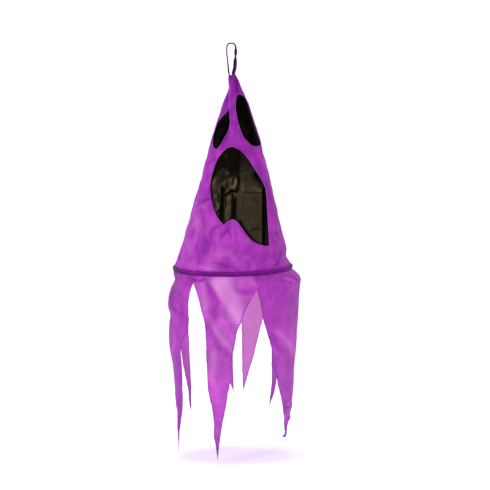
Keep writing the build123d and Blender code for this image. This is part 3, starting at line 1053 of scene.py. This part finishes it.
# Each tail: how far it laps over its neighbours at the sleeve; the count, depth and phase of the soft folds
# across it; how much it turns towards its tip; how much painted light (above 0) or painted shade (below 0)
# it gets against the rest; and its edge, as runs of (degrees, drop) points that meet at corners, from the
# right-hand end of its top, down round its tips and up to the left-hand end
TAILS = {
    "tail_front_left": dict(lap=0.5, fold_count=3.0, fold_depth=2.2, phase=0.7, turn=2.0, painted_shading=-0.2, edge=[
        [(-35, 3), (-38, 11), (-41, 20)],
        [(-41, 20), (-43.1, 31), (-43.9, 45), (-45, 90), (-45.5, 116)],
        [(-45.5, 116), (-50.5, 134), (-55.8, 154), (-57.1, 230), (-58, 284), (-60.4, 316), (-62.2, 350),
         (-63.8, 384)],
        [(-63.8, 384), (-64.5, 345), (-67.5, 300), (-71, 285), (-75.5, 256), (-79.4, 196), (-83, 165),
         (-93, 120), (-97, 70), (-97, 3)],
    ]),
    "tail_front_middle": dict(lap=1.6, fold_count=2.5, fold_depth=3.0, phase=0.0, turn=4.0, painted_shading=0.13, edge=[
        [(25, 3), (24, 18), (22.4, 32.5)],
        [(22.4, 32.5), (14.9, 62), (9.3, 88), (7.9, 101), (4.1, 121), (1.6, 151), (-0.5, 175), (-2.7, 229),
         (-4.6, 250), (-6, 271), (-9.6, 311), (-11, 332), (-12.6, 354), (-14.3, 390.5)],
        [(-14.3, 390.5), (-15.9, 362), (-17.7, 336), (-17.5, 311), (-19.6, 276), (-21.2, 266),
         (-24.3, 232), (-26, 171), (-26.5, 114), (-29.4, 74), (-34, 44), (-40.9, 20)],
        [(-40.9, 20), (-43, 11), (-42.5, 3)],
    ]),
    "tail_front_right": dict(lap=0.4, fold_count=2, fold_depth=2.4, phase=2.1, turn=-3.0, painted_shading=-0.14, edge=[
        [(93, 3), (96, 40), (90, 90), (87, 148), (83.5, 190), (80.8, 244), (77.9, 262), (74.8, 276)],
        [(74.8, 276), (76.2, 284), (73.6, 292), (71.0, 298)],
        [(71.0, 298), (70.3, 305), (71.2, 312), (67.0, 317), (65.6, 324), (64.6, 333), (64.2, 343),
         (62.0, 349.5), (58.0, 348.5), (56.6, 344)],
        [(56.6, 344), (59.4, 345), (60.9, 339), (59.6, 329), (58.6, 316), (58.9, 308), (57.2, 297),
         (57, 286)],
        [(57, 286), (53.5, 269), (49, 247), (45.5, 226), (41.2, 190), (38.2, 156), (34, 125), (29.6, 95),
         (26, 58), (22.6, 32.5)],
        [(22.6, 32.5), (21.5, 18), (20.5, 3)],
    ]),
    "tail_back_right": dict(lap=1.4, fold_count=2.5, fold_depth=3.0, phase=1.3, turn=3.0, painted_shading=-0.3, edge=[
        [(147, 3), (146, 50), (141, 90), (141.2, 184), (142, 258), (144, 309)],
        [(144, 309), (137.6, 274), (133.4, 245)],
        [(133.4, 245), (126, 205), (119, 180), (108, 140), (100, 100), (92, 60), (88, 3)],
    ]),
    "tail_back_middle": dict(lap=0.4, fold_count=1.5, fold_depth=2.4, phase=0.4, turn=-2.0, painted_shading=0.4, edge=[
        [(178, 3), (177, 60), (172.5, 110), (171.4, 170), (170.7, 244), (169.6, 277)],
        [(169.6, 277), (162.1, 216), (157.4, 175), (150.8, 124), (147.5, 95)],
        [(147.5, 95), (145, 60), (144, 3)],
    ]),
    "tail_back_left": dict(lap=1.3, fold_count=2.5, fold_depth=3.0, phase=2.9, turn=3.0, painted_shading=0.05, edge=[
        [(218, 3), (211, 25), (206.5, 60), (205, 110), (203, 160), (197, 205), (187, 240), (183, 262)],
        [(183, 262), (181, 270), (179.2, 282)],
        [(179.2, 282), (179.7, 244), (180, 200), (179, 110), (177, 60), (175, 3)],
    ]),
    "tail_side_left": dict(lap=0.6, fold_count=2.0, fold_depth=1.8, phase=4.0, turn=2.0, painted_shading=-0.22, edge=[
        [(266, 3), (264, 60), (256, 110), (242, 150), (236.8, 182), (234.3, 217), (230, 262),
         (225.6, 316)],
        [(225.6, 316), (224.6, 290), (224.6, 227), (224.8, 170), (225.5, 90), (223, 50), (221, 3)],
    ]),
}

# Folds pressed into the front tails, as (line of (across, drop) points, width, strength): above 0 a ridge
# with a painted highlight, below 0 a groove with painted shade
SKIRT_FOLDS = [
    ([(-39, 16), (-20, 48), (-2, 76), (14, 102)], 16, 0.37),
    ([(-14, -2), (-10, 25), (3, 52), (14, 88)], 26, 0.50),
    ([(-32, -2), (-27, 25)], 26, 0.36),
    ([(-52, 18), (-42, 34), (-27, 58)], 5, -0.20),
    ([(-45, 38), (-34, 57), (-38, 86)], 16.5, -0.25),
    ([(-63, 22), (-58, 43), (-57, 70)], 12.5, 0.3),
    ([(10, 33), (22, 38), (41, 36)], 12, -0.26),
    ([(16, 15), (41, 17)], 9, 0.10),
    ([(18, 46), (37, 49)], 4, 0.15),
    ([(39, 59), (23, 86)], 7.5, -0.3),
    ([(-38, 111), (-24, 132), (-9, 149), (-1, 161)], 12.5, 0.25),
    ([(-55, 100), (-42, 128), (-30, 151), (-11, 168)], 12.5, -0.2),
    ([(-41, 166), (-40, 204), (-42, 225)], 14.5, 0.22),
    ([(-32, 238), (-32, 278)], 19, 0.15),
    ([(-81, 14), (-70, 15), (-58, 10)], 4, -0.7),
    ([(93, 126), (108, 143), (121, 162), (131, 181)], 12.5, 0.35),
    ([(81, 135), (96, 158), (104, 167)], 12.5, -0.25),
    ([(135, 38), (134, 76)], 10.5, 0.22),
    ([(98, 10), (119, 12), (135, 24)], 4, -0.45),
    ([(87, 18), (106, 19), (123, 27)], 7, -0.35),
    ([(108, 15), (129, 25)], 4, 0.3),
    ([(106, 41), (108, 71)], 14.5, -0.18),
    ([(-105, 27), (-101, 47)], 16.5, 0.2),
    ([(-125, 38), (-132, 65)], 9.5, -0.5),
    ([(-128, 73), (-118, 84)], 6.5, -0.5),
    ([(-122, 119), (-109, 143)], 8.5, -0.12),
    ([(110, 282), (119, 282)], 6.5, 0.25),
    ([(106, 288), (121, 287)], 5, -0.3),
    ([(110, 305), (116, 302)], 6.5, 0.25),
]


def skirt_out(degrees, drop):
    """How far the smooth skirt stands out from the hoop's middle line."""
    angle = np.radians(degrees)
    side_share = np.sin(angle) ** 2
    right, left = curve_through(SKIRT_RIGHT, drop), curve_through(SKIRT_LEFT, drop)
    front, back = curve_through(SKIRT_FRONT, drop), curve_through(SKIRT_BACK, drop)
    side = np.where(np.sin(angle) > 0, right, left)
    along = np.where(np.cos(angle) > 0, front, back)
    return side * side_share + along * (1 - side_share)


TAIL_STEP = 3.0  # between the points of a tail's edge
TAIL_SPACING = 3.6  # between the points of its mesh


def make_tail(name, lap, fold_count, fold_depth, phase, turn, painted_shading, edge):
    """One ragged tail, sewn into the sleeve at its top and free below."""
    middle = np.mean([place[0] for run in edge for place in run])
    to_arc = math.radians(1) * FLAT_RADIUS

    def to_flat(places):
        return np.stack([(places[:, 0] - middle) * to_arc, -places[:, 1]], 1)

    outline = outline_through(edge, to_flat, TAIL_STEP)
    top = to_flat(np.array(edge[-1][-1:], float))[0], outline[0]
    steps = int(np.linalg.norm(top[1] - top[0]) / TAIL_STEP)
    outline = np.concatenate([outline, np.linspace(*top, steps, endpoint=False)])
    frayed = [noise_at(np.insert(outline, 2, k, axis=1) + (middle, 0, 0), 7, 2) for k in (5, 60)]
    outline = outline + 0.7 * np.stack(frayed, 1) * smoothstep(20, 50, -outline[:, 1])[:, None]
    flat, faces = cut_cloth(outline, [], TAIL_SPACING)

    degrees, drop = middle + flat[:, 0] / to_arc, -flat[:, 1]
    angle = np.radians(degrees)
    sideways = np.sin(angle) ** 2
    half = (outline[:, 0].max() - outline[:, 0].min()) / 2
    across = flat[:, 0] / half
    # soft folds and a turn of the whole tail, then crumples, creases, and gathers below the sleeve
    folds = fold_depth * np.sin(across * math.pi * fold_count + phase + drop / 95)
    folds *= 0.35 + 0.65 * smoothstep(10, 170, drop)
    folds *= smoothstep(8, 40, drop) * (1 - 0.55 * sideways)
    lean = turn * across * smoothstep(60, 380, drop) * (1 - 0.7 * sideways)
    on_sheet = np.stack([flat[:, 0], flat[:, 1], np.full(len(flat), middle)], 1)
    crumple = 1.6 * noise_at(on_sheet * (1, 0.45, 1), 26) * smoothstep(6, 30, drop)
    ridges = ridges_at(on_sheet * (1, 0.6, 1) + (9, 3, 1), 46)
    creases = 2.2 * (ridges - 0.5) * smoothstep(12, 60, drop)
    gathers = 1.3 * noise_at(on_sheet * (1, 0.15, 1) + (0, 0, 50), 7, 2)
    gathers *= smoothstep(5, 9, drop) * (1 - smoothstep(16, 42, drop))
    radius = SKIRT_INNER_RADIUS + skirt_out(degrees, drop) + lap * smoothstep(2, 8, drop)
    radius += folds + lean + (crumple + creases) * (1 - 0.4 * sideways) + gathers
    marks = SKIRT_FOLDS if "front" in name else []
    # the folds' painted light and shade, and their lift
    pressed, lift = pressed_folds(radius * np.sin(angle), drop, marks)
    front = smoothstep(-0.05, 0.3, np.cos(angle))
    radius += 0.28 * lift * front * smoothstep(8, 20, drop)
    x = radius * np.sin(angle)
    z = HOOP_Z - drop + HOOP_TILT * x * (1 - smoothstep(60, 300, drop))
    points = np.stack([x, -radius * np.cos(angle), z], 1)
    cloth = new_piece(name + "_cloth", points, faces, flat, purple_cloth)

    # darker along its raw edge; painted shade towards its tip; painted light and shade along its folds and
    # creases, and the tail's own painted light and shade
    shade = -0.5 * bump_at(distance_to(flat, outline), 0, 2.4) * smoothstep(20, 60, drop)
    shade += pressed * front + painted_shading - 0.24 * smoothstep(130, 300, drop) + 0.10 * (ridges - 0.6)
    set_shade(cloth, shade)
    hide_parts(name)
    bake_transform(cloth)
    return cloth


tails = {name: make_tail(name, **tail) for name, tail in TAILS.items()}
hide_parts("skirt_band")

# ---------------------------------------------------------------- the hanging loop

# The loop from its left-hand foot over the top to its right-hand one, as (across, height)
LOOP_PATH = [
    (-8.75, -58.2), (-9.7, -46), (-11.0, -34), (-12.2, -22), (-12.4, -10), (-11.0, -4.8), (-7.0, -1.2),
    (-2.9, -1.0), (1.6, -1.3), (5.2, -5.0), (6.4, -11), (6.3, -23), (5.4, -36), (5.2, -44), (4.3, -53),
    (3.1, -58.2),
]
# The tape's twist about its own line, in degrees, against the share of the way along it
LOOP_TWIST = [
    (0, 20), (0.12, 13), (0.22, 11), (0.4, 10), (0.55, 10), (0.62, 22), (0.7, 55), (0.76, 20), (0.84, 75),
    (0.92, 100), (1, 80),
]
# The tape's two ends, which go down between the layers of cloth: the path and the twist of each
LOOP_FEET = {
    "left": ([(-8.75, -57.4), (-7.9, -63.6), (-6.6, -69), (-3.8, -79)], 20),
    "right": ([(3.15, -57.4), (1.8, -63.6), (2.0, -69), (2.1, -79)], 82),
}
FOOT_END_TWIST = 80
TAPE_THICKNESS = 1.6
TAPE_STEP = 1.3  # between the sections along it
TAPE_HALF_FLAT = 1.3  # half the width of the flat middle of its faces
TAPE_EDGE = 0.8  # the width of the painted shade along each of its edges


def tape_section():
    """The tape's cross-section: a thin rounded bar, as (across, through) points."""
    half_width, half = TAPE_WIDTH / 2, TAPE_THICKNESS / 2
    angles = np.radians(np.linspace(-90, 90, 5))
    right = [(half_width - half + half * math.cos(a), half * math.sin(a)) for a in angles]
    top = [(TAPE_HALF_FLAT, half), (-TAPE_HALF_FLAT, half)]
    return right + top + [(-x, -y) for x, y in right + top]


def tape_shade(across, through):
    """Painted shade along its edges and on its inner side, and painted light on half of its outer side."""
    edge = abs(across) > TAPE_WIDTH / 2 - TAPE_EDGE
    return -0.95 if edge or through < 0 or across < 0 else 0.3


def make_tape(name, path, twists):
    """A length of twisted tape along a line in the XZ plane."""
    path = np.array([(x, 0.0, z) for x, z in path], float)
    line = np.concatenate([smooth_run(path, TAPE_STEP), path[-1:]])
    run = run_along(line)
    along = np.gradient(line, axis=0)
    along /= np.linalg.norm(along, axis=1, keepdims=True)
    wide = np.array([(0.0, 1.0, 0.0)] * len(line))
    through = np.cross(along, wide)
    twist = np.radians(curve_through(twists, run / run[-1]))[:, None]
    across = wide * np.cos(twist) + through * np.sin(twist)
    through = np.cross(along, across)
    section = tape_section()
    points = np.stack([line + a * across + b * through for a, b in section], 1).reshape(-1, 3)
    uv = [(a, r) for r in run for a, _ in section]
    tape = new_piece(name, points, skin(len(line), len(section)), uv, loop_tape_material)
    set_shade(tape, [tape_shade(a, b) for _ in run for a, b in section])
    return tape


def make_loop():
    """The loop above the tip, and its two feet, which go in between the cloth at the tip."""
    tape = make_tape("loop_tape", LOOP_PATH, LOOP_TWIST)
    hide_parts("hanging_loop")
    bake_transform(tape)
    for side, (path, twist) in LOOP_FEET.items():
        foot = make_tape(f"loop_foot_{side}", path, [(0, twist), (0.6, twist), (1, FOOT_END_TWIST)])
        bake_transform(foot)


make_loop()

# The bar tack's zigzag
TACK_THREAD_RADIUS = 0.3
TACK_TURNS = 26
TACK_LEFT = -8.6
TACK_WIDTH = 11.6
TACK_HEIGHT = 2.2
TACK_DROP = 3.2  # how far its lower edge is below the CAD bar tack
TACK_DEPTH = 3.6  # how far it stands out from the middle, at the front and at the back


def make_bar_tack():
    """A dense zigzag of thread across the tip, over the two feet of the loop, at the front and the back."""
    rows = []
    for depth in (-TACK_DEPTH, TACK_DEPTH):
        line = []
        for i in range(TACK_TURNS * 2 + 1):
            x = TACK_LEFT + TACK_WIDTH * i / (TACK_TURNS * 2)
            z = TACK_FOOT_Z - TACK_DROP + (TACK_HEIGHT if i % 2 else 0)
            line.append((x, depth, z))
        rows.append(tube(line, TACK_THREAD_RADIUS, sides=5))
    tack = new_piece("tip_bar_tack", *joined(rows), material=purple_thread)
    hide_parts("loop_bar_tack")
    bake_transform(tack)


make_bar_tack()

# ---------------------------------------------------------------- carried-over CAD nodes

for node, material, slot in (
    ("hoop_rod", rod_material("glass_fibre"), "rod"),
    ("hoop_ferrule", ferrule_material("aluminium_tube"), "ferrule"),
):
    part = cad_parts[node]
    part.data.materials.clear()
    part.data.materials.append(material)

# ---------------------------------------------------------------- floor, light and camera

FLOOR_GAP = 8  # between the longest tail and the floor
FLOOR_REACH = 80000  # far enough that its edges fall outside the picture


def make_floor():
    """A wide pale floor under the longest tail, with a faint painted violet glow that stands in for light
    coming through the cloth.
    """
    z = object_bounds()[0].z / MM - FLOOR_GAP
    n = Nodes(bpy.data.materials.new("pale_floor"))
    base = n.ramp(n.noise(3.0, 2), [(0.3, (0.93, 0.93, 0.93)), (0.7, (0.95, 0.95, 0.95))])
    white = n.finish(n.principled({
        "Base Color": base,
        "Roughness": 0.9,
        "Specular IOR Level": 0.1,
        # painted light: a faint violet glow, so that the shadow under the cloth looks lilac
        "Emission Color": (0.62, 0.42, 1, 1),
        "Emission Strength": 0.25,
    }))
    corners = [(x * FLOOR_REACH, y * FLOOR_REACH, z) for x, y in ((-1, -1), (1, -1), (1, 1), (-1, 1))]
    floor = new_piece("floor", corners, [(0, 1, 2, 3)], material=white)


STUDIO_LIGHT = 0.84
STUDIO_SLOPE = -0.14  # brighter from the left than from the right


def make_world():
    """A white studio, seen as pure white, that lights the object a little more from the left."""
    n = Nodes(bpy.data.worlds.new("studio"))
    place = n.add("ShaderNodeTexCoord").outputs["Generated"]
    x = n.add("ShaderNodeSeparateXYZ", {0: place}).outputs["X"]
    lighting = n.math("MULTIPLY_ADD", x, STUDIO_SLOPE, STUDIO_LIGHT)
    strength = n.math("MAXIMUM", lighting, n.add("ShaderNodeLightPath").outputs["Is Camera Ray"])
    background = n.add("ShaderNodeBackground", {"Color": (1, 1, 1, 1), "Strength": strength})
    bpy.context.scene.world = n.finish(background.outputs[0], "ShaderNodeOutputWorld")


def make_light(name, kind, energy, place, **settings):
    """A lamp at a place, turned to about the middle of the object."""
    lamp = bpy.data.lights.new(name, kind)
    lamp.energy = energy
    for key, value in settings.items():
        setattr(lamp, key, value)
    holder = bpy.data.objects.new(name, lamp)
    holder.location = place
    target = Vector((0, 0, -0.4))
    holder.rotation_euler = (target - Vector(place)).to_track_quat("-Z", "Y").to_euler()
    bpy.context.scene.collection.objects.link(holder)


def make_camera():
    """A long lens in front of the object and a little above it, looking down."""
    distance = 14.0
    down = math.radians(6.8)
    view_width = 1.024
    off_middle = Vector((0.0257, 0, 0.006))
    target = (cad_low + cad_high) / 2 + off_middle
    camera = bpy.data.cameras.new("camera")
    camera.lens = camera.sensor_width * distance / view_width
    camera.clip_start, camera.clip_end = 0.5, 200
    holder = bpy.data.objects.new("camera", camera)
    holder.location = target + Vector((0, -math.cos(down), math.sin(down))) * distance
    holder.rotation_euler = (math.pi / 2 - down, 0, 0)
    bpy.context.scene.collection.objects.link(holder)
    bpy.context.scene.camera = holder


make_floor()
make_world()
make_light("overhead", "SUN", 0.68, (-0.1, -0.05, 3), angle=math.radians(14))
make_light("key", "AREA", 22.0, (-1.3, -2.3, 1.1), size=0.7)
make_camera()
bpy.context.scene.view_settings.view_transform = "Standard"
